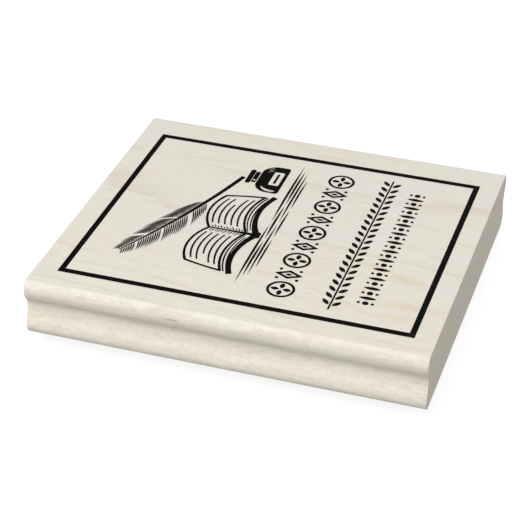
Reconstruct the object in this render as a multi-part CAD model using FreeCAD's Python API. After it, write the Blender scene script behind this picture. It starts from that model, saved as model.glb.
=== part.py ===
"""Wood-mounted rubber stamp: a moulded maple block with an index print on top and a
foam-backed rubber die underneath.

Frame, in millimetres: the origin is the middle of the block's plan, at the printing face of
the die. +Z is up, +Y points to the top of the artwork and runs along the grain, and +X points
along its lines of print. The two sides that face -X and +X have finger grooves, and the two
ends that face -Y and +Y are sawn flat.
"""
import FreeCAD
import Part
import math
import os

V = FreeCAD.Vector

# Block
BLOCK_LENGTH = 122.5          # along the grain, Y
BLOCK_WIDTH = 111.0           # across the grooved sides, X
BLOCK_HEIGHT = 19.0
END_EASE = 0.25               # sanded edge round at the sawn ends

# Moulded side, from the top down
ARRIS_TURN = 32.0             # degrees of slope where the sanded top cuts the round of the lip
ARRIS_RADIUS = 0.4
LIP_RADIUS = 3.65
UNDERLIP_RADIUS = 5.5
UNDERLIP_TURN = 38.0          # degrees that the lip curls back under itself
COVE_TOP_RADIUS = 4.0
COVE_LOW_RADIUS = 9.0
BULGE_RADIUS = 6.1
BULGE_TURN = 26.4             # degrees of slope where the cove meets the lower bulge
FOOT_RADIUS = 3.2

# Layers under the block, from the table up
RELIEF_DEPTH = 1.0            # raised image on the die
DIE_FLOOR = 0.8               # rubber sheet that carries the image
FILM = 0.1                    # each adhesive film
FOAM = 2.4
INK = 0.06                    # index print on the block's top

# Artwork, whose own origin is the middle of its border
ART_SHIFT = V(-1.4, -0.3, 0)  # the print sits this far off the block's middle
BORDER_WIDTH = 90.1
BORDER_HEIGHT = 109.0
BORDER_SIDE = 2.05            # line thickness of the two long sides
BORDER_END = 1.83             # line thickness of the two short sides
DIE_MARGIN = 0.6              # rubber trimmed this far outside the border
DIE_CORNER = 1.5

Z_DIE_FLOOR = RELIEF_DEPTH
Z_DIE_FILM = Z_DIE_FLOOR + DIE_FLOOR
Z_FOAM = Z_DIE_FILM + FILM
Z_BLOCK_FILM = Z_FOAM + FOAM
Z_BLOCK = Z_BLOCK_FILM + FILM
Z_TOP = Z_BLOCK + BLOCK_HEIGHT


# ---------------------------------------------------------------- plane geometry

def along(angle, distance=1.0):
    """Vector of that length at that angle, in degrees, in the artwork's plane."""
    turn = math.radians(angle)
    return V(distance * math.cos(turn), distance * math.sin(turn), 0)


def left_of(direction):
    return V(-direction.y, direction.x, 0)


def face_of(edges):
    return Part.Face(Part.Wire(edges))


def line(start, end):
    return Part.LineSegment(start, end).toShape()


def arc(start, middle, end):
    return Part.Arc(start, middle, end).toShape()


def polygon(points):
    return Part.Face(Part.makePolygon(points + points[:1]))


def disc(centre, radius):
    return Part.Face(Part.Wire([Part.makeCircle(radius, centre)]))


def ring(centre, outer, inner):
    return disc(centre, outer).cut(disc(centre, inner))


def rounded_rectangle(centre, width, height, low_radius, high_radius=None):
    """Rectangle with round corners, walked anticlockwise from its lower left."""
    corners = [(-1, -1, 180), (1, -1, 270), (1, 1, 0), (-1, 1, 90)]
    arcs = []
    for side_x, side_y, start in corners:
        radius = high_radius if side_y > 0 and high_radius else low_radius
        pivot = centre + V(side_x * (width / 2 - radius), side_y * (height / 2 - radius), 0)
        arcs.append(tuple(pivot + along(start + turn, radius) for turn in (0, 45, 90)))
    edges = []
    for here, after in zip(arcs, arcs[1:] + arcs[:1]):
        edges.append(arc(*here))
        edges.append(line(here[2], after[0]))
    return face_of(edges)


def stroke(points, widths):
    """Pen stroke that bends through three points, with a width at each. Width 0 is a point."""
    start, middle, end = points
    bend = Part.Arc(start, middle, end)
    first, last = bend.FirstParameter, bend.LastParameter
    rails = []
    for side in (1, -1):
        rail = []
        for share, width in zip((0.0, 0.5, 1.0), widths):
            at = first + share * (last - first)
            normal = left_of(bend.tangent(at)[0])
            rail.append(bend.value(at) + normal * (side * width / 2))
        rails.append(rail)
    upper, lower = rails
    edges = [arc(*upper)]
    if widths[2] > 0:
        edges.append(line(upper[2], lower[2]))
    edges.append(arc(*reversed(lower)))
    if widths[0] > 0:
        edges.append(line(lower[0], upper[0]))
    return face_of(edges)


def leaf(root, angle, length, width):
    """Pointed leaf with two arched sides."""
    tip = root + along(angle, length)
    middle = (root + tip) * 0.5
    across = left_of(along(angle)) * (width / 2)
    return face_of([arc(root, middle + across, tip), arc(tip, middle - across, root)])


def lozenge(centre, width, height):
    return polygon([centre + V(width / 2, 0, 0), centre + V(0, height / 2, 0),
                    centre - V(width / 2, 0, 0), centre - V(0, height / 2, 0)])


# ---------------------------------------------------------------- artwork

def rectangle(width, height):
    """Sharp-cornered rectangle round the artwork's origin."""
    x, y = width / 2, height / 2
    return polygon([V(-x, -y, 0), V(x, -y, 0), V(x, y, 0), V(-x, y, 0)])


def border():
    inner = rectangle(BORDER_WIDTH - 2 * BORDER_SIDE, BORDER_HEIGHT - 2 * BORDER_END)
    return rectangle(BORDER_WIDTH, BORDER_HEIGHT).cut(inner)


QUILL_FOOT = V(26.4, 19.6, 0)
QUILL_BEND = V(2.0, 27.9, 0)
QUILL_TIP = V(-28.0, 41.6, 0)
VANE_START = 0.36             # shares of the shaft where the vane begins and ends
VANE_END = 0.985
BARBS = 38                    # on each side of the shaft
BARB_ANGLE = 35.0
BARB_BOW = 4.0                # degrees that a barb bows away from its tip
BARB_REACH = {1: 8.6, -1: 6.8}
BARB_WIDTH = 0.42
BARB_ROOT_WIDTH = 0.27
BARB_GAP = 0.2                # bare line between the shaft and its barbs
SHAFT_WIDTHS = (1.5, 1.1, 0.3)
SPLITS = {1: (7, 8, 20, 31), -1: (12, 25, 26)}      # barbs left out, where the vane has parted


def barb_reach(side, number):
    """Length of one barb: the vane swells to its middle, and its edge is a little ragged."""
    share = number / (BARBS - 1)
    swell = math.sin(math.pi * (0.1 + 0.86 * share ** 0.7)) ** 0.55
    ragged = 1 + 0.05 * math.sin(5.3 * number + side)
    return BARB_REACH[side] * swell * ragged


def quill():
    """Feather pen: a bare shaft, and a vane of separate barbs on each side of it."""
    shaft = Part.Arc(QUILL_FOOT, QUILL_BEND, QUILL_TIP)
    first, last = shaft.FirstParameter, shaft.LastParameter
    faces = [stroke((QUILL_FOOT, QUILL_BEND, QUILL_TIP), SHAFT_WIDTHS)]
    for side in (1, -1):
        for number in range(BARBS):
            if number in SPLITS[side]:
                continue
            place = VANE_START + (VANE_END - VANE_START) * number / (BARBS - 1)
            at = first + place * (last - first)
            forward = shaft.tangent(at)[0]
            outward = left_of(forward) * side
            half_shaft = (SHAFT_WIDTHS[0] + (SHAFT_WIDTHS[2] - SHAFT_WIDTHS[0]) * place) / 2
            points = [shaft.value(at) + outward * (half_shaft + BARB_GAP)]
            for part, angle in ((0.5, BARB_ANGLE + BARB_BOW), (1.0, BARB_ANGLE)):
                turn = math.radians(angle)
                lean = forward * math.cos(turn) + outward * math.sin(turn)
                points.append(points[0] + lean * (barb_reach(side, number) * part))
            faces.append(stroke(points, (BARB_ROOT_WIDTH, BARB_WIDTH, 0)))
    return faces


BOTTLE = V(27.5, 6.2, 0)      # middle of the bottle's foot
BOTTLE_HALF = 8.4
BOTTLE_TOP = 8.6
BOTTLE_SHOULDER_RADIUS = 4.9
BOTTLE_FOOT_RADIUS = 1.1
SHINE_WIDTHS = (0.5, 1.1, 0)
GLINT_INSETS = (0.9, 1.7, 2.5)
GLINT_WIDTH = 0.28
NECK_HALF = 3.4
NECK_FOOT = 8.9
NECK_HEIGHT = 1.5
RIM_HALF = 4.4
RIM_FOOT = 10.6
RIM_HEIGHT = 1.7
LABEL_MIDDLE = (0.8, 2.9)
LABEL_SIZE = (8.6, 3.4)
LABEL_LINE = (6.2, 0.8)


def on_bottle(x, y):
    return BOTTLE + V(x, y, 0)


def bottle():
    """Squat ink bottle, solid black, with a curved highlight and three glints."""
    body = rounded_rectangle(on_bottle(0, BOTTLE_TOP / 2), 2 * BOTTLE_HALF, BOTTLE_TOP,
                             BOTTLE_FOOT_RADIUS, BOTTLE_SHOULDER_RADIUS)
    shine = (on_bottle(1.5 - BOTTLE_HALF, 1.4), on_bottle(1.4 - BOTTLE_HALF, 3.8),
             on_bottle(3.6 - BOTTLE_HALF, 6.6))
    body = body.cut(stroke(shine, SHINE_WIDTHS))
    for inset in GLINT_INSETS:
        x = BOTTLE_HALF - inset
        glint = (on_bottle(x - 1.9, 7.9 - inset * 0.4), on_bottle(x - 0.5, 6.4 - inset * 0.4),
                 on_bottle(x, 4.9 - inset * 0.2))
        body = body.cut(stroke(glint, (0, GLINT_WIDTH, 0)))
    label = rounded_rectangle(on_bottle(*LABEL_MIDDLE), *LABEL_SIZE, 0.6)
    label_line = rounded_rectangle(on_bottle(*LABEL_MIDDLE), *LABEL_LINE, 0.35)
    neck_middle = NECK_FOOT + NECK_HEIGHT / 2
    neck = rounded_rectangle(on_bottle(0, neck_middle), 2 * NECK_HALF, NECK_HEIGHT, 0.3)
    neck_shine = rounded_rectangle(on_bottle(1.5 - NECK_HALF, neck_middle), 0.7,
                                   NECK_HEIGHT * 0.7, 0.3)
    rim = rounded_rectangle(on_bottle(0, RIM_FOOT + RIM_HEIGHT / 2), 2 * RIM_HALF, RIM_HEIGHT, 0.8)
    return [body.cut(label), neck.cut(neck_shine), rim, label_line]


BOOK = V(-6.8, 8.0, 0)        # foot of the gutter between the two pages
PAGE_REACH = 22.5
PAGE_TAPER = 2.6              # the far edge of each page is this much shorter
PAGE_TALL = 12.0
PAGE_ARCH = 2.9               # rise of the page beside the gutter
PAGE_RISE = 0.9               # rise of the page's outer edge above the gutter
PAGE_EDGE = 0.9               # width of the pen line round each page
PAGE_LINES = 5
LINE_START = 0.14             # shares of the page's reach that a ruled line runs between
LINE_STOPS = (0.72, 0.9, 0.9)
LINE_WIDTHS = (0.5, 0.62, 0.5)
HATCH_START = 0.035           # the short hatching beside the gutter
HATCH_STOPS = (0.085, 0.115)
HATCH_WIDTHS = (0.4, 0.32, 0)
LEAF_DROP = 1.05              # pitch of the page edges seen under the top page
LEAF_WIDTHS = (0.3, 0.5, 0.5)
COVER_DROP = 3.3
COVER_WIDTHS = (2.3, 1.5, 1.9)
GUTTER_WIDTHS = (1.6, 0.9, 0.7)


def page_curve(side, share, start=0.0, stop=1.0):
    """Three points along a page, at a share of its height, from the gutter outwards."""
    reach = PAGE_REACH - PAGE_TAPER * share
    points = []
    for part in (start, (start + stop) / 2, stop):
        arch = PAGE_ARCH * math.sin(math.pi * part ** 0.8)
        points.append(BOOK + V(side * reach * part, PAGE_TALL * share + arch + PAGE_RISE * part, 0))
    return points


def page(side):
    """One page: its outline, ruled lines, hatching, the leaves under it and half of the cover."""
    low = page_curve(side, 0.0)
    high = page_curve(side, 1.0)
    outer_middle = (low[2] + high[2]) * 0.5 + V(side * 0.25, 0, 0)
    faces = [disc(corner, PAGE_EDGE / 2) for corner in (low[2], high[2])]
    for edge in (low, high, (low[2], outer_middle, high[2])):
        faces.append(stroke(edge, (PAGE_EDGE, PAGE_EDGE * 0.85, PAGE_EDGE)))
    for number in range(1, PAGE_LINES + 1):
        share = number / (PAGE_LINES + 1)
        ruled = page_curve(side, share, LINE_START, LINE_STOPS[number % len(LINE_STOPS)])
        faces.append(stroke(ruled, LINE_WIDTHS))
    for number in range(2 * PAGE_LINES + 1):
        share = (number + 0.75) / (2 * PAGE_LINES + 2.5)
        hatch = page_curve(side, share, HATCH_START, HATCH_STOPS[number % len(HATCH_STOPS)])
        faces.append(stroke(hatch, HATCH_WIDTHS))
    for number in (1, 2):
        leaf_edge = [point - V(0, LEAF_DROP * number, 0)
                     for point in page_curve(side, 0.0, 0.05 * number, 1.0)]
        faces.append(stroke(leaf_edge, LEAF_WIDTHS))
    cover = [point - V(0, COVER_DROP, 0) for point in low]
    cover[2] = cover[2] + V(side, 0.2, 0)
    faces.append(stroke(cover, COVER_WIDTHS))
    return faces


def book():
    """Open book seen from its foot, with ruled lines on both pages."""
    gutter = (BOOK + V(0, -3.2, 0), BOOK + V(0.02, PAGE_TALL * 0.45, 0),
              BOOK + V(0, PAGE_TALL + 0.3, 0))
    spine = rounded_rectangle(BOOK + V(0, -3.7, 0), 3.4, 1.7, 0.6)
    return page(1) + page(-1) + [stroke(gutter, GUTTER_WIDTHS), spine]


GROUND_TOP = 2.7
GROUND_PITCH = 1.15
GROUND_WIDTHS = (0.8, 0.74, 0.68, 0.62)      # of each row, from the top down
GROUND_LEFT = -34.0
GROUND_RIGHT = 38.5
GROUND_GAP = 1.2              # between the strokes of a row
GROUND_BOW = 0.15


def ground():
    """Shadow of the book and the bottle: rows of strokes that thin out and shorten downwards."""
    faces = []
    for row, width in enumerate(GROUND_WIDTHS):
        height = GROUND_TOP - GROUND_PITCH * row
        left = GROUND_LEFT + row * (3.2 + 0.9 * math.sin(2.1 * row))
        right = GROUND_RIGHT - row * (2.6 + 0.8 * math.cos(1.7 * row))
        cuts = 2 + row % 2
        for number in range(cuts):
            start = left + (right - left) * number / cuts
            stop = left + (right - left) * (number + 1) / cuts
            if number < cuts - 1:
                stop -= GROUND_GAP
            middle = V((start + stop) / 2, height + GROUND_BOW, 0)
            faces.append(stroke((V(start, height, 0), middle, V(stop, height, 0)), (0, width, 0)))
    return faces


TITLE_Y = -11.35
TITLE_PITCH = 8.3
TITLE_MOTIFS = 9
RING_OUTER = 4.3
RING_INNER = 3.45
PETAL_SIZE = (2.6, 1.5)
LOZENGE_SIZE = (4.6, 8.8)
LOZENGE_HOLE = (2.5, 4.9)
LOZENGE_CORE = (1.2, 2.4)
DOT_RADIUS = 0.55


def ringed_star(centre):
    petals = [leaf(centre + along(angle, DOT_RADIUS), angle, *PETAL_SIZE)
              for angle in range(0, 360, 90)]
    return [ring(centre, RING_OUTER, RING_INNER)] + petals


def dotted_lozenge(centre):
    faces = [lozenge(centre, *LOZENGE_SIZE).cut(lozenge(centre, *LOZENGE_HOLE)),
             lozenge(centre, *LOZENGE_CORE)]
    for side in (1, -1):
        for rise in (1, -1):
            faces.append(disc(centre + V(side * 2.5, rise * 3.1, 0), DOT_RADIUS))
    return faces


def title_band():
    """Large ornament band: ringed stars and dotted lozenges in turn."""
    faces = []
    for number in range(TITLE_MOTIFS):
        centre = V((number - (TITLE_MOTIFS - 1) / 2) * TITLE_PITCH, TITLE_Y, 0)
        faces += dotted_lozenge(centre) if number % 2 else ringed_star(centre)
    return faces


UPPER_Y = -27.3
UPPER_PITCH = 3.6
UPPER_LEAVES = 21
STEM_WIDTH = 0.55
STEM_END = 1.2                # stem beyond the first and last leaf
LEAF_ANGLE = 42
LEAF_SIZE = (3.5, 1.45)
LEAF_STAGGER = 0.5            # how far the upper leaves sit ahead of the lower ones


def upper_band():
    """Running leaf band: leaves that rise and fall from one straight stem."""
    half = UPPER_PITCH * UPPER_LEAVES / 2
    end = half + STEM_END
    stem = (V(-end, UPPER_Y, 0), V(0, UPPER_Y + 0.02, 0), V(end, UPPER_Y, 0))
    faces = [stroke(stem, (STEM_WIDTH, STEM_WIDTH, STEM_WIDTH))]
    for number in range(UPPER_LEAVES):
        x = -half + UPPER_PITCH * (number + 0.25)
        for side, ahead in ((1, LEAF_STAGGER), (-1, 0.0)):
            root = V(x + ahead, UPPER_Y + side * STEM_WIDTH, 0)
            faces.append(leaf(root, side * LEAF_ANGLE, *LEAF_SIZE))
    return faces


LOWER_Y = -36.8
LOWER_PITCH = 5.4
LOWER_MOTIFS = 12
SPINDLE_SIZE = (5.4, 1.5)
BEAD_RADIUS = 0.95
SMALL_BEAD_RADIUS = 0.5
BEAD_RISE = 2.1


def bead_group(x):
    """A bead on the band's middle line, with a small one above and below it."""
    centre = V(x, LOWER_Y, 0)
    return [disc(centre, BEAD_RADIUS), disc(centre + V(0, BEAD_RISE, 0), SMALL_BEAD_RADIUS),
            disc(centre - V(0, BEAD_RISE, 0), SMALL_BEAD_RADIUS)]


def lower_band():
    """Bead band: upright spindles between groups of beads."""
    left = -LOWER_PITCH * LOWER_MOTIFS / 2
    faces = bead_group(left)
    for number in range(LOWER_MOTIFS):
        foot = V(left + LOWER_PITCH * (number + 0.5), LOWER_Y - SPINDLE_SIZE[0] / 2, 0)
        faces.append(leaf(foot, 90, *SPINDLE_SIZE))
        faces += bead_group(left + LOWER_PITCH * (number + 1))
    return faces


ARTWORK = {
    "index_border": [border()],
    "index_quill": quill(),
    "index_ink_bottle": bottle(),
    "index_open_book": book(),
    "index_ground_shadow": ground(),
    "index_title_band": title_band(),
    "index_upper_band": upper_band(),
    "index_lower_band": lower_band(),
}


# ---------------------------------------------------------------- sub-parts

def top_edge():
    """Distance from the block's middle to where its flat top ends, in X."""
    slope = math.sin(math.radians(ARRIS_TURN))
    return BLOCK_WIDTH / 2 - ARRIS_RADIUS * slope - LIP_RADIUS * (1 - slope)


def moulded_side(side):
    """Edges of one grooved side in the XZ plane, from the flat top to the flat foot."""
    place = V(top_edge(), 0, Z_TOP)
    heading = 0.0
    turns = [(ARRIS_RADIUS, -ARRIS_TURN), (LIP_RADIUS, ARRIS_TURN - 90.0),
             (UNDERLIP_RADIUS, -UNDERLIP_TURN), (COVE_TOP_RADIUS, UNDERLIP_TURN),
             (COVE_LOW_RADIUS, BULGE_TURN), (BULGE_RADIUS, -BULGE_TURN), None,
             (FOOT_RADIUS, -90.0)]
    edges = []
    for step in turns:
        if step is None:
            points = [place, V(place.x, 0, Z_BLOCK + FOOT_RADIUS)]
        else:
            radius, sweep = step
            pivot_angle = math.radians(heading + math.copysign(90.0, sweep))
            pivot = place + V(math.cos(pivot_angle), 0, math.sin(pivot_angle)) * radius
            points = [place]
            for share in (0.5, 1.0):
                spoke = pivot_angle + math.pi + math.radians(sweep * share)
                points.append(pivot + V(math.cos(spoke), 0, math.sin(spoke)) * radius)
            heading += sweep
        flipped = [V(side * point.x, point.y, point.z) for point in points]
        edges.append(arc(*flipped) if len(flipped) == 3 else line(*flipped))
        place = points[-1]
    return edges, place.x


def wood_block():
    """Maple block: the moulded section drawn along the grain, with eased sawn ends."""
    right, foot_x = moulded_side(1)
    left, _ = moulded_side(-1)
    top = line(V(-top_edge(), 0, Z_TOP), V(top_edge(), 0, Z_TOP))
    foot = line(V(foot_x, 0, Z_BLOCK), V(-foot_x, 0, Z_BLOCK))
    section = Part.Face(Part.Wire(Part.__sortEdges__([top] + right + [foot] + left)))
    section.translate(V(0, -BLOCK_LENGTH / 2, 0))
    block = section.extrude(V(0, BLOCK_LENGTH, 0))
    end_edges = [edge for edge in block.Edges
                 if abs(edge.CenterOfMass.y) > BLOCK_LENGTH / 2 - END_EASE]
    return block.makeFillet(END_EASE, end_edges)


def pad(low, thickness):
    """Layer with the die's trimmed outline, from one height up."""
    outline = rounded_rectangle(ART_SHIFT + V(0, 0, low), BORDER_WIDTH + 2 * DIE_MARGIN,
                                BORDER_HEIGHT + 2 * DIE_MARGIN, DIE_CORNER)
    return outline.extrude(V(0, 0, thickness))


def raised(faces, low, thickness):
    """Solids that stand on the artwork's faces, joined where the faces overlap."""
    solids = []
    for face in faces:
        solid = face.extrude(V(0, 0, thickness))
        solid.translate(ART_SHIFT + V(0, 0, low))
        solids.append(solid)
    if len(solids) == 1:
        return solids
    return solids[0].multiFuse(solids[1:]).removeSplitter().Solids


def rubber_die():
    """Rubber sheet with the whole artwork standing out of its lower face."""
    islands = []
    for faces in ARTWORK.values():
        islands += raised(faces, 0, RELIEF_DEPTH)
    sheet = pad(Z_DIE_FLOOR, DIE_FLOOR)
    return sheet.multiFuse(islands).removeSplitter()


def save(name, shape):
    shape.exportStep(os.path.join("parts", name + ".step"))
    print(f"{name}: {len(shape.Solids)} solids, {shape.Volume:.1f} mm3, valid {shape.isValid()}")


def main():
    os.makedirs("parts", exist_ok=True)
    save("wood_block", wood_block())
    save("block_adhesive", pad(Z_BLOCK_FILM, FILM))
    save("foam_cushion", pad(Z_FOAM, FOAM))
    save("die_adhesive", pad(Z_DIE_FILM, FILM))
    save("rubber_die", rubber_die())
    for name, faces in ARTWORK.items():
        save(name, Part.makeCompound(raised(faces, Z_TOP, INK)))


main()
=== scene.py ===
"""Wood-mounted rubber stamp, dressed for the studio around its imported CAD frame.

The CAD nodes of the index print, the two adhesive films and the rubber die keep their shapes and
get new materials. The maple block and the foam cushion are rebuilt here as finer meshes.

Lengths are written in millimetres and turned into metres with MM. The frame is the CAD one: +Z is
up from the printing face, +Y is the top of the artwork and runs along the wood's grain.
"""

import math

import bpy
from mathutils import Matrix, Vector, noise


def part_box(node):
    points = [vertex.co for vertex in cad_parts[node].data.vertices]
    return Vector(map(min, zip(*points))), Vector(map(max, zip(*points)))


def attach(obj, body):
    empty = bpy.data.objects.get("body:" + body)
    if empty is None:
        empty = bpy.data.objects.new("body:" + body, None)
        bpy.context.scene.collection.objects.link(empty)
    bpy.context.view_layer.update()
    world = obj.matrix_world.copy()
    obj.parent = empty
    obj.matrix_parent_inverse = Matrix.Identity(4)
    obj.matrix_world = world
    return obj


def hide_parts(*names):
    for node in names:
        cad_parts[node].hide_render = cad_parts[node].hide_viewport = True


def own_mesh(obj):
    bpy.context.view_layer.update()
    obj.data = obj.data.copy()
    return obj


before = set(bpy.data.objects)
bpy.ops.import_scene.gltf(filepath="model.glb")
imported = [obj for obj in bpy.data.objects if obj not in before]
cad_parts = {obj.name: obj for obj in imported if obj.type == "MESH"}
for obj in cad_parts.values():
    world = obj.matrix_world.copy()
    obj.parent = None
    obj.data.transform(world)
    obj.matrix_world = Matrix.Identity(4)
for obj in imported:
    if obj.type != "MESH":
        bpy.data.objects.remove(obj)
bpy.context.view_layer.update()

MM = 0.001
MOUNT = "mount"
INDEX_PRINT = [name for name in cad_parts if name.startswith("index_")]


# ---------------------------------------------------------------- node helpers

def add(tree, kind, inputs=None, **settings):
    """Adds a shader node. inputs gives each socket a value or another node's output."""
    made = tree.nodes.new("ShaderNode" + kind)
    for name, value in settings.items():
        setattr(made, name, value)
    for name, value in (inputs or {}).items():
        if isinstance(value, bpy.types.NodeSocket):
            tree.links.new(value, made.inputs[name])
        else:
            made.inputs[name].default_value = value
    return made


def new_material(name, **constants):
    """A material with one Principled shader, whose even values are set on its own sockets."""
    material = bpy.data.materials.new(name)
    material.use_nodes = True
    tree = material.node_tree
    tree.nodes.clear()
    shader = add(tree, "BsdfPrincipled")
    for socket, value in constants.items():
        shader.inputs[socket.replace("_", " ")].default_value = value
    add(tree, "OutputMaterial", {"Surface": shader.outputs[0]})
    return material, tree, shader


def maths(tree, operation, *values):
    """Result of a Math node, whose values are numbers or other nodes' outputs."""
    return add(tree, "Math", dict(enumerate(values)), operation=operation).outputs[0]


def vector_maths(tree, operation, *values):
    """Result of a Vector Math node: a number for LENGTH, a vector for the rest."""
    made = add(tree, "VectorMath", dict(enumerate(values)), operation=operation)
    return made.outputs["Value" if operation == "LENGTH" else "Vector"]


def fade(tree, value, start, stop, low=0.0, high=1.0):
    """Smooth step: low where the value is up to start, high where it is stop or more."""
    sockets = {"Value": value, "From Min": start, "From Max": stop, "To Min": low, "To Max": high}
    return add(tree, "MapRange", sockets, interpolation_type="SMOOTHSTEP").outputs[0]


def blend(tree, share, under, over, mode="MIX"):
    """Mixes two colours, given as sockets or as (red, green, blue)."""
    sockets = {0: share}
    for number, colour in ((6, under), (7, over)):
        sockets[number] = colour if isinstance(colour, bpy.types.NodeSocket) else (*colour, 1.0)
    return add(tree, "Mix", sockets, data_type="RGBA", blend_type=mode).outputs[2]


def laid(tree, colour, share, strength, over):
    """The colour with another laid over it, at that strength in that share of the surface."""
    return blend(tree, maths(tree, "MULTIPLY", share, strength), colour, over)


def tint(tree, colour, share, tinted):
    """The colour times a tint, in that share of the surface."""
    return blend(tree, share, colour, blend(tree, 1.0, colour, tinted, "MULTIPLY"))


def shaded(tree, colour, level):
    """The colour times a grey level."""
    grey = add(tree, "CombineXYZ", {0: level, 1: level, 2: level}).outputs[0]
    return blend(tree, 1.0, colour, grey, "MULTIPLY")


def clouds(tree, place, scale=1.0, detail=2.0, roughness=0.5, output="Fac"):
    """Soft noise, about one unit of place wide at scale 1."""
    sockets = {"Vector": place, "Scale": scale, "Detail": detail, "Roughness": roughness}
    return add(tree, "TexNoise", sockets).outputs[output]


def cells(tree, place, scale=1.0):
    """Voronoi cells: (distance from each cell's seed, the cell's own random colour)."""
    made = add(tree, "TexVoronoi", {"Vector": place, "Scale": scale})
    return made.outputs["Distance"], made.outputs["Color"]


def stretch(tree, place, across, along):
    """Place in units of a feature this many millimetres wide across the grain and along it."""
    return vector_maths(tree, "MULTIPLY", place, (1 / across, 1 / along, 1 / across))


def relief(tree, shader, height, depth_mm):
    """Bump whose full height, from 0 to 1, stands for that many millimetres."""
    bump = add(tree, "Bump", {"Height": height, "Strength": 1.0, "Distance": depth_mm * MM})
    tree.links.new(bump.outputs[0], shader.inputs["Normal"])


# ---------------------------------------------------------------- maple

MAPLE_PALE = (0.72, 0.69, 0.61)
MAPLE_WARM = (0.725, 0.675, 0.58)
MAPLE_LATEWOOD = (0.50, 0.39, 0.26)
MAPLE_STREAK = (0.60, 0.45, 0.28)
MAPLE_PORE = (0.42, 0.32, 0.23)
MAPLE_FLECK = (0.50, 0.36, 0.22)
MAPLE_STAIN = (0.68, 0.54, 0.36)
MAPLE_BLUSH = (0.60, 0.53, 0.425)
SIDE_PAINTED_LIGHT = (1.05, 1.055, 1.06)     # painted light: tint of the moulded sides, lighter and whiter than the top, as if they catch the light
END_GRAIN = (0.88, 0.87, 0.85)       # darker tint of the sawn end grain, which soaks up light
GRAIN_SLOPE = math.radians(4.5)      # the grain's turn from the block's length, in plan
GRAIN_DIP = math.radians(1.2)        # and its dip below the top face
GRAIN_SWAY = 6.0                     # mm between the furthest that slow bends carry the grain
RING_CENTRE = (14.0, 0.0, -62.0)     # pith of the tree, in mm from the middle of the die's face
RING_PITCH = 3.4                     # growth of one year, in mm
# Size in mm of the wood's small marks: across the grain and along it
PORE = (0.42, 5.0)
FLECK = (0.42, 1.0)
CUTTER_RIDGE = (5.0, 0.36)
RAY = (0.35, 5.0)                    # on the sawn ends: round the pith and away from it
SCRATCH = (0.4, 9.0)                 # on the sawn ends: sideways and up
# Tan stains under the top face, in mm: (x, y) of each end, half width, and strength up to 1
STAINS = (((-13, -24), (-15, -44), 2.6, 0.7), ((-16, -34), (-21, -57), 3.6, 0.9),
          ((-33, -36), (-31, -65), 3.4, 1.0), ((-38, -36), (-38, -62), 2.2, 0.8),
          ((-8, -14), (-11, -26), 0.6, 0.9), ((-14, -14), (-15, -26), 0.7, 0.8),
          ((-30, -14), (-34, -31), 1.3, 0.9), ((-11, -28), (-20, -54), 0.9, 1.0),
          ((-34, -26), (-41, -46), 1.2, 0.7),
          ((-27, 4), (-29, -14), 1.5, 0.4), ((8, -48), (6, -64), 1.3, 0.8),
          ((-24, 46), (-28, 26), 1.5, 0.6), ((-1, 40), (-2, 31), 0.5, 1.0),
          ((46, 6), (47, -20), 1.2, 0.8), ((32, 48), (33, 18), 1.2, 0.7),
          ((-3, 62), (-1, 48), 1.0, 0.6), ((21, 24), (23, -4), 1.2, 0.4))
STAIN_DEPTH = 7.0                    # mm that they reach down
STAIN_FRAY = 3.0                     # mm between the furthest that the grain drags their edges
TEAR_PLACE = (-55.3, 14.8, 20.1)     # middle of a torn line under the lip of one side, in mm
TEAR_REACH = (1.5, 2.9, 0.42)        # and how far it reaches each way


def millimetres(tree):
    """Position in the stamp's own frame, in millimetres."""
    position = add(tree, "TexCoord").outputs["Object"]
    return vector_maths(tree, "MULTIPLY", position, (1 / MM, 1 / MM, 1 / MM))


def grain_place(tree, place):
    """That position along the grain's own axes, with the slow bends of a real tree."""
    turned = add(tree, "Mapping", {"Vector": place, "Rotation": (GRAIN_DIP, 0, GRAIN_SLOPE)})
    turned = turned.outputs[0]
    slow = clouds(tree, stretch(tree, turned, 28.0, 95.0), detail=1.0, output="Color")
    sway = vector_maths(tree, "MULTIPLY_ADD", slow, (GRAIN_SWAY, 0.0, GRAIN_SWAY),
                        (-GRAIN_SWAY / 2, 0.0, -GRAIN_SWAY / 2))
    return vector_maths(tree, "ADD", turned, sway)


def end_share(tree):
    """1 on the two sawn ends, 0 on every other face."""
    normal = add(tree, "TexCoord").outputs["Normal"]
    along = add(tree, "SeparateXYZ", {0: normal}).outputs["Y"]
    return fade(tree, maths(tree, "ABSOLUTE", along), 0.75, 0.95)


def side_share(tree):
    """1 on the moulded sides, 0 on the top and underside."""
    normal = add(tree, "TexCoord").outputs["Normal"]
    across = add(tree, "SeparateXYZ", {0: normal}).outputs["X"]
    return fade(tree, maths(tree, "ABSOLUTE", across), 0.35, 0.75)


def round_pith(tree, grain):
    """(distance round the tree, distance from its pith), in millimetres."""
    from_pith = vector_maths(tree, "SUBTRACT", grain, RING_CENTRE)
    across, _, up = add(tree, "SeparateXYZ", {0: from_pith}).outputs
    squares = maths(tree, "ADD", maths(tree, "MULTIPLY", across, across),
                    maths(tree, "MULTIPLY", up, up))
    radius = maths(tree, "SQRT", squares)
    angle = maths(tree, "ARCTAN2", across, up)
    return maths(tree, "MULTIPLY", angle, -RING_CENTRE[2]), radius


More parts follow.
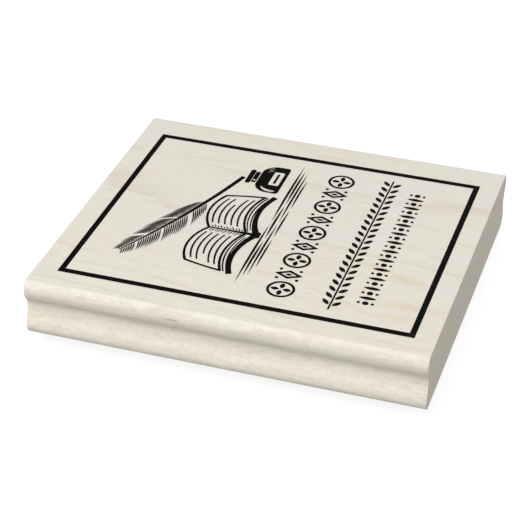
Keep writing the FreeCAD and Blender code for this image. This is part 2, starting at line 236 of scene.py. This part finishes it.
def growth_lines(tree, grain):
    """Thin dark lines where each year's growth ends, some years stronger than others."""
    _, radius = round_pith(tree, grain)
    wobble = clouds(tree, stretch(tree, grain, 4.0, 40.0), detail=3.0)
    years = maths(tree, "MULTIPLY_ADD", wobble, 0.5, maths(tree, "DIVIDE", radius, RING_PITCH))
    season = maths(tree, "FRACT", years)
    rise = fade(tree, season, 0.45, 0.93)
    fall = fade(tree, season, 0.93, 1.0, 1.0, 0.0)
    year = add(tree, "TexWhiteNoise", {"W": maths(tree, "FLOOR", years)}, noise_dimensions="1D")
    strength = fade(tree, year.outputs["Value"], 0.25, 1.0, 0.15, 1.0)
    patchy = fade(tree, clouds(tree, stretch(tree, grain, 9.0, 30.0)), 0.35, 0.65, 0.25, 1.0)
    line = maths(tree, "MULTIPLY", maths(tree, "POWER", rise, 2.5), fall)
    return maths(tree, "MULTIPLY", maths(tree, "MULTIPLY", line, strength), patchy)


def rays(tree, grain):
    """Fine lines that run out from the pith, seen on the sawn ends, from 0 to 1."""
    around, radius = round_pith(tree, grain)
    width, length = RAY
    spread = add(tree, "CombineXYZ", {0: maths(tree, "DIVIDE", around, width),
                                      1: maths(tree, "DIVIDE", radius, length)}).outputs[0]
    return fade(tree, clouds(tree, spread, detail=3.0, roughness=0.6), 0.35, 0.7)


def pores(tree, place):
    """Vessels cut open along the grain: short dark dashes, and dots on the sawn ends."""
    distance, seed = cells(tree, stretch(tree, place, *PORE))
    open_share = add(tree, "SeparateColor", {0: seed}).outputs[0]
    spot = fade(tree, distance, 0.1, 0.26, 1.0, 0.0)
    return maths(tree, "MULTIPLY", spot, fade(tree, open_share, 0.35, 0.9))


def flecks(tree, place):
    """Ray flecks: fine brown scales that the moulding cutter leaves on the side faces."""
    distance, seed = cells(tree, stretch(tree, place, *FLECK))
    chosen = add(tree, "SeparateColor", {0: seed}).outputs[1]
    ragged = clouds(tree, stretch(tree, place, 0.18, 0.45), detail=3.0)
    reach = maths(tree, "MULTIPLY_ADD", ragged, 0.5, distance)
    spot = fade(tree, reach, 0.35, 0.75, 1.0, 0.0)
    crowded = fade(tree, clouds(tree, stretch(tree, place, 2.5, 7.0)), 0.38, 0.62, 0.15, 1.0)
    return maths(tree, "MULTIPLY", maths(tree, "MULTIPLY", spot, crowded),
                 fade(tree, chosen, 0.35, 1.0))


def blush(tree, place):
    """Soft tan freckling between the flecks of the side faces, from 0 to 1."""
    freckles = clouds(tree, stretch(tree, place, 0.9, 1.7), detail=5.0, roughness=0.7)
    drifts = clouds(tree, stretch(tree, place, 3.0, 12.0))
    return maths(tree, "MULTIPLY", fade(tree, freckles, 0.42, 0.66),
                 fade(tree, drifts, 0.35, 0.65, 0.35, 1.0))


def torn_line(tree, place):
    """One short line of torn fibres that the moulding cutter left under a lip, from 0 to 1."""
    reach = add(tree, "Mapping", {"Vector": place, "Location": TEAR_PLACE, "Scale": TEAR_REACH},
                vector_type="TEXTURE").outputs[0]
    return fade(tree, vector_maths(tree, "LENGTH", reach), 0.3, 1.0, 1.0, 0.0)


def cutter_marks(tree, place):
    """Fine upright ridges that the moulding cutter leaves in patches on the sides, from 0 to 1."""
    ridges = clouds(tree, stretch(tree, place, *CUTTER_RIDGE), detail=4.0, roughness=0.6)
    patchy = fade(tree, clouds(tree, stretch(tree, place, 6.0, 9.0)), 0.38, 0.6, 0.15, 1.0)
    return maths(tree, "MULTIPLY", fade(tree, ridges, 0.35, 0.7), patchy)


def saw_marks(tree, place):
    """Fine upright scratches on the sawn ends, from 0 to 1."""
    width, length = SCRATCH
    scratches = vector_maths(tree, "MULTIPLY", place, (1 / width, 1.0, 1 / length))
    return fade(tree, clouds(tree, scratches, detail=3.0, roughness=0.6), 0.3, 0.7)


def stains(tree, place, grain):
    """Tan stains: long soft smears just under the top face, broken into threads by the grain."""
    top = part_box("wood_block")[1].z / MM
    threads = clouds(tree, stretch(tree, grain, 0.9, 16.0), detail=4.0, roughness=0.6)
    drag = clouds(tree, stretch(tree, grain, 2.5, 14.0), output="Color")
    drag = vector_maths(tree, "MULTIPLY_ADD", drag, (STAIN_FRAY, STAIN_FRAY, 0),
                        (-STAIN_FRAY / 2, -STAIN_FRAY / 2, 0))
    frayed = vector_maths(tree, "ADD", place, drag)
    total = 0.0
    for start, stop, half_width, strength in STAINS:
        run = Vector(stop) - Vector(start)
        middle = (Vector(stop) + Vector(start)) / 2
        turn = math.atan2(-run.x, run.y)
        reach = add(tree, "Mapping", {"Vector": frayed, "Location": (*middle, top),
                                      "Rotation": (0, 0, turn),
                                      "Scale": (half_width, run.length / 2, STAIN_DEPTH)},
                    vector_type="TEXTURE").outputs[0]
        stain = fade(tree, vector_maths(tree, "LENGTH", reach), 0.1, 1.0, strength, 0.0)
        total = maths(tree, "MAXIMUM", total, stain)
    return maths(tree, "MULTIPLY", total, fade(tree, threads, 0.3, 0.62, 0.25, 1.0))


def as_grown(tree, grain, sides, ends):
    """(colour, fibre) of the wood as it grew: mottle, fibres, growth lines, rays and wisps."""
    mottle = clouds(tree, stretch(tree, grain, 16.0, 70.0), detail=3.0)
    colour = blend(tree, fade(tree, mottle, 0.35, 0.7), MAPLE_PALE, MAPLE_WARM)
    fibre = clouds(tree, stretch(tree, grain, 0.28, 9.0), detail=4.0, roughness=0.65)
    streaky = shaded(tree, colour, fade(tree, fibre, 0.25, 0.75, 0.94, 1.05))
    colour = blend(tree, fade(tree, sides, 0.0, 1.0, 1.0, 0.45), colour, streaky)
    line_strength = fade(tree, ends, 0.0, 1.0, 0.34, 0.6)
    colour = laid(tree, colour, growth_lines(tree, grain), line_strength, MAPLE_LATEWOOD)
    ray = maths(tree, "MULTIPLY", rays(tree, grain), ends)
    colour = laid(tree, colour, ray, strength=0.22, over=MAPLE_LATEWOOD)
    wisps = clouds(tree, stretch(tree, grain, 3.2, 30.0), detail=4.0, roughness=0.6)
    return blend(tree, fade(tree, wisps, 0.56, 0.76, 0.0, 0.2), colour, MAPLE_STREAK), fibre


def cut_sides(tree, colour, grain, sides):
    """The colour with what shows where the moulding cuts the grain, freckles and ray flecks, and a
    painted sheen in soft patches on the sides.
    """
    freckling = maths(tree, "MULTIPLY", blush(tree, grain), sides)
    colour = laid(tree, colour, freckling, strength=0.5, over=MAPLE_BLUSH)
    fleck = maths(tree, "MULTIPLY", flecks(tree, grain), sides)
    colour = laid(tree, colour, fleck, strength=0.34, over=MAPLE_FLECK)
    # painted sheen: soft patches of the sides painted a little lighter and darker
    painted_sheen = clouds(tree, stretch(tree, grain, 1.5, 4.5), detail=4.0, roughness=0.6)
    with_painted_sheen = shaded(tree, colour, fade(tree, painted_sheen, 0.32, 0.68, 0.955, 1.045))
    return blend(tree, sides, colour, with_painted_sheen)


def maple_surface(tree):
    """(colour, height, pore, fibre) of sanded maple, worked out from place alone, so that the
    print on top of the wood can share its pores and fibres."""
    place = millimetres(tree)
    grain = grain_place(tree, place)
    ends = end_share(tree)
    sides = side_share(tree)
    pore = pores(tree, grain)
    tear = torn_line(tree, place)
    marks = maths(tree, "ADD", maths(tree, "MULTIPLY", cutter_marks(tree, place), sides),
                  maths(tree, "MULTIPLY", saw_marks(tree, place), ends))

    colour, fibre = as_grown(tree, grain, sides, ends)
    colour = laid(tree, colour, stains(tree, place, grain), strength=0.65, over=MAPLE_STAIN)
    colour = laid(tree, colour, pore, strength=0.3, over=MAPLE_PORE)
    colour = cut_sides(tree, colour, grain, sides)
    # painted light: the moulded sides painted lighter and whiter than the top
    colour = tint(tree, colour, sides, SIDE_PAINTED_LIGHT)
    colour = tint(tree, colour, ends, END_GRAIN)
    colour = laid(tree, colour, tear, strength=0.75, over=MAPLE_PORE)
    colour = shaded(tree, colour, fade(tree, marks, 0.0, 1.0, 1.0, 0.955))

    height = maths(tree, "SUBTRACT", maths(tree, "MULTIPLY", fibre, 0.35),
                   maths(tree, "MAXIMUM", pore, tear))
    height = maths(tree, "MULTIPLY_ADD", marks, 0.5, height)
    return colour, height, pore, fibre


def maple():
    """Sanded maple, a little smoother along some fibres than others."""
    material, tree, shader = new_material("sanded_maple", Specular_IOR_Level=0.35)
    colour, height, _, fibre = maple_surface(tree)
    tree.links.new(colour, shader.inputs["Base Color"])
    tree.links.new(fade(tree, fibre, 0.2, 0.8, 0.52, 0.7), shader.inputs["Roughness"])
    relief(tree, shader, height, depth_mm=0.03)
    return material


# ---------------------------------------------------------------- wood block

# The moulded side from the top down, as in the CAD model, in mm and degrees
ARRIS_TURN = 32.0                    # slope where the sanded top cuts the round of the lip
ARRIS_RADIUS = 0.4
LIP_RADIUS = 3.65
UNDERLIP_RADIUS = 5.5
UNDERLIP_TURN = 38.0
COVE_TOP_RADIUS = 4.0
COVE_LOW_RADIUS = 9.0
BULGE_RADIUS = 6.1
BULGE_TURN = 26.4
FOOT_RADIUS = 3.2
SHOULDER = 0.4                       # mm of the flat top, beside its arris, that shades as flat
ARC_STEP = 5.0                       # degrees between the section's points
FLAT_STEP = 3.6                      # mm between points on the flat faces
ROW_STEP = 2.4                       # mm between rows along the grain
EASE_STEPS = 4                       # rows round the worn edge of each sawn end
EDGE_WEAR = 0.24                     # mm worn off that edge
EDGE_UNEVEN = 0.1                    # mm that this wear varies by, each way
EDGE_WAVES = 180.0                   # waves of that wear in a metre, about
SIDE_UNEVEN = 0.014                  # mm that sanding waves vary by on the sides, each way
SIDE_WAVES_ACROSS = 90               # such waves in a metre across the grain, about
SIDE_WAVES_ALONG = 45                # and along it


def moulded_side(low, high):
    """(place, normal) down one grooved side, from the flat top to the foot: places are (x, z) in
    metres."""
    slope = math.sin(math.radians(ARRIS_TURN))
    top_edge = high.x - (ARRIS_RADIUS * slope + LIP_RADIUS * (1 - slope)) * MM
    place = Vector((top_edge, high.z))
    heading = 0.0
    points = [(place - Vector((SHOULDER * MM, 0)), Vector((0, 1))), (place, Vector((0, 1)))]
    foot_corner = low.z + FOOT_RADIUS * MM
    # Radius and turn of each arc; None is the straight drop to the foot
    turns = [(ARRIS_RADIUS, -ARRIS_TURN), (LIP_RADIUS, ARRIS_TURN - 90.0),
             (UNDERLIP_RADIUS, -UNDERLIP_TURN), (COVE_TOP_RADIUS, UNDERLIP_TURN),
             (COVE_LOW_RADIUS, BULGE_TURN), (BULGE_RADIUS, -BULGE_TURN), None,
             (FOOT_RADIUS, -90.0)]
    for step in turns:
        if step is None:
            place = Vector((place.x, foot_corner))
            points.append((place, Vector((1, 0))))
            continue
        radius, sweep = step
        bend = math.copysign(1.0, sweep)
        start = math.radians(heading + 90.0 * bend)
        pivot = place + Vector((math.cos(start), math.sin(start))) * radius * MM
        pieces = max(2, round(abs(sweep) / ARC_STEP))
        for number in range(1, pieces + 1):
            spoke = start + math.pi + math.radians(sweep * number / pieces)
            outward = Vector((math.cos(spoke), math.sin(spoke)))
            place = pivot + outward * radius * MM
            points.append((place, -outward * bend))
        heading += sweep
    return points


def flat_run(start, stop, normal):
    """(place, normal) between two corners of the section, the corners themselves left out."""
    pieces = round((stop - start).length / (FLAT_STEP * MM))
    return [(start.lerp(stop, number / pieces), normal) for number in range(1, pieces)]


def section(low, high):
    """(place, normal) round the block across the grain, clockwise from the right of its top."""
    right = moulded_side(low, high)
    left = [(Vector((-place.x, place.y)), Vector((-normal.x, normal.y)))
            for place, normal in reversed(right)]
    foot = flat_run(right[-1][0], left[0][0], Vector((0, -1)))
    top = flat_run(left[-1][0], right[0][0], Vector((0, 1)))
    return right + foot + left + top


def closed_faces(rings, count):
    """Four-sided faces between rings of that many points each, and a flat face at each end."""
    faces = []
    for ring in range(rings - 1):
        for number in range(count):
            after = (number + 1) % count
            faces.append((ring * count + number, ring * count + after,
                          (ring + 1) * count + after, (ring + 1) * count + number))
    faces.append(tuple(reversed(range(count))))
    faces.append(tuple(range((rings - 1) * count, rings * count)))
    return faces


def four_sided(polygon):
    """Whether a face is one of those between two rings, and not a flat end."""
    return len(polygon.vertices) == 4


def mesh_piece(name, vertices, faces, smooth=lambda polygon: False):
    """A new object, whose faces are shaded smooth where that function says so."""
    mesh = bpy.data.meshes.new(name)
    mesh.from_pydata(vertices, [], faces)
    mesh.validate()
    for polygon in mesh.polygons:
        polygon.use_smooth = smooth(polygon)
    piece = bpy.data.objects.new(name, mesh)
    bpy.context.scene.collection.objects.link(piece)
    return piece


def wood_block():
    """Maple block: its moulded section swept along the grain, with worn edges at both ends."""
    low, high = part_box("wood_block")
    outline = section(low, high)
    length = high.y - low.y
    rows = round(length / (ROW_STEP * MM))
    # Each station: its place along the grain, its share of the turn round the worn edge, and the
    # way along the grain that leads into the block
    stations = [(low.y, step / EASE_STEPS, 1) for step in range(EASE_STEPS + 1)]
    stations += [(low.y + length * row / rows, 1.0, 0) for row in range(1, rows)]
    stations += [(high.y, step / EASE_STEPS, -1) for step in range(EASE_STEPS, -1, -1)]

    vertices = []
    for y, turn, inward in stations:
        for place, normal in outline:
            base = Vector((place.x, y, place.y))
            worn = (EDGE_WEAR + EDGE_UNEVEN * noise.noise(base * EDGE_WAVES)) * MM
            angle = turn * math.pi / 2
            wave = noise.noise(Vector((base.x * SIDE_WAVES_ACROSS, y * SIDE_WAVES_ALONG,
                                       base.z * SIDE_WAVES_ACROSS)))
            sanded = SIDE_UNEVEN * MM * abs(normal.x) * (wave - 1.0)
            out = sanded - worn * (1 - math.sin(angle))
            back = inward * worn * (1 - math.cos(angle))
            vertices.append((place.x + normal.x * out, y + back, place.y + normal.y * out))

    faces = closed_faces(len(stations), len(outline))
    piece = mesh_piece("maple_block", vertices, faces, four_sided)
    piece.data.materials.append(maple())
    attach(piece, MOUNT)
    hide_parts("wood_block")


# ---------------------------------------------------------------- index print

INK_BLACK = (0.0025, 0.0023, 0.002)


def index_ink():
    """Black ink on the wood: matte, a little thin over the open pores."""
    material, tree, shader = new_material("index_ink", Specular_IOR_Level=0.03)
    colour, height, pore, fibre = maple_surface(tree)
    inked = laid(tree, INK_BLACK, pore, strength=0.08, over=colour)
    tree.links.new(inked, shader.inputs["Base Color"])
    tree.links.new(fade(tree, fibre, 0.2, 0.8, 0.5, 0.75), shader.inputs["Roughness"])
    relief(tree, shader, height, depth_mm=0.012)
    return material


def dress(node, material):
    """Gives a CAD node a material, in all the slots of its object."""
    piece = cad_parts[node]
    for slot in piece.material_slots:
        slot.material = material
    if not piece.material_slots:
        piece.data.materials.append(material)


# ---------------------------------------------------------------- foam cushion

FOAM_CORNER = 1.5                    # mm, radius of the corners of the outline it is cut to
CORNER_STEPS = 10                    # faces round each corner
FOAM_STEP = 0.2                      # mm between points round the cut side
FOAM_ROWS = 12                       # rows of faces up the cut side
FOAM_WAIST = 0.12                    # mm that the cut side pulls in half way up
CELL_SIZE = 0.6                      # mm, open cells of the foam
CELL_DEPTH = 0.2                     # mm that they are cut open
CELL_REACH = 0.5                     # from a cell's middle to its wall, in sizes of a cell
FOAM_PALE = (0.60, 0.59, 0.56)
FOAM_WARM = (0.50, 0.49, 0.46)
# painted shade inside the open cells
FOAM_PIT_SHADE = (0.20, 0.19, 0.18)


def pad_outline(low, high):
    """(place, normal) round the cushion's outline, anticlockwise, in metres."""
    radius = FOAM_CORNER * MM
    corners = []
    for start in (0, 90, 180, 270):
        middle = math.radians(start + 45)
        pivot = Vector((high.x - radius if math.cos(middle) > 0 else low.x + radius,
                        high.y - radius if math.sin(middle) > 0 else low.y + radius))
        corner = []
        for step in range(CORNER_STEPS + 1):
            angle = math.radians(start + 90 * step / CORNER_STEPS)
            normal = Vector((math.cos(angle), math.sin(angle)))
            corner.append((pivot + normal * radius, normal))
        corners.append(corner)
    points = []
    for corner, after in zip(corners, corners[1:] + corners[:1]):
        points += corner
        here, normal = corner[-1]
        there = after[0][0]
        pieces = round((there - here).length / (FOAM_STEP * MM))
        points += [(here.lerp(there, step / pieces), normal) for step in range(1, pieces)]
    return points


def foam_cushion():
    """Foam cushion between its two films: its cut side is pitted and pulls in half way up."""
    low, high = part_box("foam_cushion")
    outline = pad_outline(low, high)
    thickness = high.z - low.z
    vertices = []
    for row in range(FOAM_ROWS + 1):
        height = low.z + thickness * row / FOAM_ROWS
        free = math.sin(math.pi * row / FOAM_ROWS)
        for place, normal in outline:
            base = Vector((place.x, place.y, height))
            distance = noise.voronoi(base / (CELL_SIZE * MM))[0][0]
            pit = max(0.0, 1 - (distance / CELL_REACH) ** 2)
            inward = free * (FOAM_WAIST + CELL_DEPTH * pit) * MM
            vertices.append((place.x - normal.x * inward, place.y - normal.y * inward, height))
    faces = closed_faces(FOAM_ROWS + 1, len(outline))
    piece = mesh_piece("foam_pad", vertices, faces, four_sided)
    piece.data.materials.append(cushion_foam())
    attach(piece, MOUNT)
    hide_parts("foam_cushion")
    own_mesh(piece)


def cushion_foam():
    """Grey foam: a net of cell walls round small open cells, which are painted darker inside as
    their shade.
    """
    material, tree, shader = new_material("cushion_foam", Specular_IOR_Level=0.25)
    place = millimetres(tree)
    distance, seed = cells(tree, place, scale=1 / CELL_SIZE)
    depth = fade(tree, distance, 0.1, CELL_REACH, 1.0, 0.0)
    open_cell = fade(tree, add(tree, "SeparateColor", {0: seed}).outputs[0], 0.2, 0.7)
    pit = maths(tree, "MULTIPLY", depth, open_cell)
    walls = clouds(tree, place, scale=5.0, detail=3.0)
    colour = blend(tree, walls, FOAM_PALE, FOAM_WARM)
    # painted shade: the open cells painted darker inside
    colour = laid(tree, colour, pit, strength=0.7, over=FOAM_PIT_SHADE)
    tree.links.new(colour, shader.inputs["Base Color"])
    tree.links.new(fade(tree, walls, 0.2, 0.8, 0.8, 0.95), shader.inputs["Roughness"])
    height = maths(tree, "SUBTRACT", maths(tree, "MULTIPLY", walls, 0.4), pit)
    relief(tree, shader, height, depth_mm=0.12)
    return material


# ---------------------------------------------------------------- rubber and films

RUBBER_DEEP = (0.25, 0.048, 0.03)
RUBBER_WARM = (0.34, 0.078, 0.05)
RUBBER_DUST = (0.44, 0.20, 0.15)
ENGRAVING_PITCH = 0.25               # mm between the laser's passes
ENGRAVING_DRIFT = 0.3                # changes along each pass, in a mm
FILM_PALE = (0.82, 0.78, 0.66)
FILM_WARM = (0.72, 0.66, 0.50)


def die_rubber():
    """Brick-red rubber: smooth on the printing face, lined and dusty where it was engraved."""
    material, tree, shader = new_material("die_rubber", Specular_IOR_Level=0.4)
    place = millimetres(tree)
    above_print = add(tree, "SeparateXYZ", {0: place}).outputs["Z"]
    engraved = fade(tree, above_print, 0.1, 0.6)
    mottle = clouds(tree, place, scale=0.35, detail=5.0)
    colour = blend(tree, mottle, RUBBER_DEEP, RUBBER_WARM)
    dusty = fade(tree, clouds(tree, place, scale=4.0, detail=4.0), 0.45, 0.8, 0.1, 0.7)
    colour = laid(tree, colour, engraved, strength=dusty, over=RUBBER_DUST)
    tree.links.new(colour, shader.inputs["Base Color"])
    uneven = fade(tree, mottle, 0.3, 0.7, 0.0, 0.12)
    roughness = maths(tree, "ADD", uneven, fade(tree, engraved, 0.0, 1.0, 0.42, 0.72))
    tree.links.new(roughness, shader.inputs["Roughness"])
    passes = vector_maths(tree, "MULTIPLY", place,
                          (ENGRAVING_DRIFT, 1 / ENGRAVING_PITCH, ENGRAVING_DRIFT))
    grit = clouds(tree, place, scale=9.0, detail=4.0)
    lined = maths(tree, "MULTIPLY", maths(tree, "MULTIPLY", clouds(tree, passes), engraved), 2.0)
    relief(tree, shader, maths(tree, "MULTIPLY_ADD", grit, 0.5, lined), depth_mm=0.04)
    return material


def adhesive_film():
    """Clear-cream adhesive film, seen at its cut edge."""
    material, tree, shader = new_material("adhesive_film", Specular_IOR_Level=0.5)
    streaks = clouds(tree, millimetres(tree), scale=1.4, detail=4.0)
    tree.links.new(blend(tree, streaks, FILM_WARM, FILM_PALE), shader.inputs["Base Color"])
    tree.links.new(fade(tree, streaks, 0.3, 0.7, 0.3, 0.5), shader.inputs["Roughness"])
    relief(tree, shader, streaks, depth_mm=0.02)
    return material


# ---------------------------------------------------------------- studio

FLOOR_HALF = 3.0                     # metres from its middle to each side
FLOOR_GREY = (0.19, 0.19, 0.19)
FLOOR_PALE = (0.21, 0.21, 0.21)
FLOOR_GLOW = 0.85
LIGHT_FROM_ABOVE = 0.45
LIGHT_FROM_BELOW = 0.70              # off the table beside the stamp
LIGHT_FROM_UNDER = 0.15              # off the table in its own shade
HORIZON = (-0.2, 0.2)                # rise over which the light changes from below to above
OWN_SHADE = (-0.95, -0.35)           # rise over which it leaves the stamp's own shade
WHITE = (1.0, 1.0, 1.0)
WARM_WHITE = (1.0, 0.965, 0.90)      # light that comes back up off the table
LENS = 120.5                         # mm, on a 36 mm sensor
CAMERA_HEADING = math.radians(17.19)         # from +X, in plan
CAMERA_DROP = math.radians(32.57)            # below level
CAMERA_ROLL = math.radians(0.88)
CAMERA_DISTANCE = 548.8 * MM
AIM_SHIFT = Vector((-9.3, 1.1, 0.0)) * MM    # of its aim, from the middle of the block


def middle_of(node):
    """Middle of a CAD node's box, in metres."""
    low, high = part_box(node)
    return (low + high) / 2


def studio_floor():
    """Pale light table: it glows a little, which keeps the shadow under the block soft."""
    material, tree, shader = new_material("studio_floor", Roughness=0.7,
                                          Emission_Strength=FLOOR_GLOW,
                                          Emission_Color=(*WHITE, 1.0))
    mottle = clouds(tree, add(tree, "TexCoord").outputs["Object"], scale=3.0)
    tree.links.new(blend(tree, mottle, FLOOR_GREY, FLOOR_PALE), shader.inputs["Base Color"])
    corners = [(-FLOOR_HALF, -FLOOR_HALF, 0), (FLOOR_HALF, -FLOOR_HALF, 0),
               (FLOOR_HALF, FLOOR_HALF, 0), (-FLOOR_HALF, FLOOR_HALF, 0)]
    floor = mesh_piece("studio_floor", corners, [(0, 1, 2, 3)])
    floor.data.materials.append(material)
    floor.visible_diffuse = False


def area_light(name, heading, height, distance, size, power):
    """Soft square light that faces the block: heading in plan and height in degrees, distance and
    size in metres, power in watts."""
    data = bpy.data.lights.new(name, "AREA")
    data.shape = "SQUARE"
    data.size = size
    data.energy = power
    light = bpy.data.objects.new(name, data)
    bpy.context.scene.collection.objects.link(light)
    turn, rise = math.radians(heading), math.radians(height)
    outward = Vector((math.cos(turn) * math.cos(rise), math.sin(turn) * math.cos(rise),
                      math.sin(rise)))
    light.location = middle_of("wood_block") + outward * distance
    light.rotation_euler = (-outward).to_track_quat("-Z", "Y").to_euler()


def studio_light():
    """Even light from above, warmer light back up off the table, and a key and a fill light."""
    world = bpy.data.worlds.new("studio")
    world.use_nodes = True
    tree = world.node_tree
    direction = add(tree, "TexCoord").outputs["Generated"]
    rise = add(tree, "SeparateXYZ", {0: direction}).outputs["Z"]
    background = tree.nodes["Background"]
    above = fade(tree, rise, *HORIZON)
    tree.links.new(blend(tree, above, WARM_WHITE, WHITE), background.inputs["Color"])
    below = fade(tree, rise, *OWN_SHADE, LIGHT_FROM_UNDER, LIGHT_FROM_BELOW)
    strength = maths(tree, "ADD", maths(tree, "MULTIPLY", above, LIGHT_FROM_ABOVE),
                     maths(tree, "MULTIPLY", maths(tree, "SUBTRACT", 1.0, above), below))
    tree.links.new(strength, background.inputs["Strength"])
    bpy.context.scene.world = world
    bpy.context.scene.view_settings.view_transform = "Standard"
    area_light("key", heading=163.0, height=54.0, distance=1.4, size=0.9, power=16.3)
    area_light("fill", heading=-10.0, height=8.0, distance=1.4, size=0.35, power=4.5)


def studio_camera():
    """Long lens at the photo's angle."""
    data = bpy.data.cameras.new("photo_view")
    data.lens = LENS
    camera = bpy.data.objects.new("photo_view", data)
    bpy.context.scene.collection.objects.link(camera)
    forward = Vector((math.cos(CAMERA_HEADING) * math.cos(CAMERA_DROP),
                      math.sin(CAMERA_HEADING) * math.cos(CAMERA_DROP),
                      -math.sin(CAMERA_DROP)))
    aim = middle_of("wood_block") + AIM_SHIFT
    turn = forward.to_track_quat("-Z", "Y").to_matrix().to_4x4()
    camera.matrix_world = (Matrix.Translation(aim - forward * CAMERA_DISTANCE) @ turn
                           @ Matrix.Rotation(CAMERA_ROLL, 4, "Z"))
    bpy.context.scene.camera = camera


# ---------------------------------------------------------------- the stamp

wood_block()
ink = index_ink()
for name in INDEX_PRINT:
    dress(name, ink)
foam_cushion()
film = adhesive_film()
dress("block_adhesive", film)
dress("die_adhesive", film)
dress("rubber_die", die_rubber())
studio_floor()
studio_light()
studio_camera()
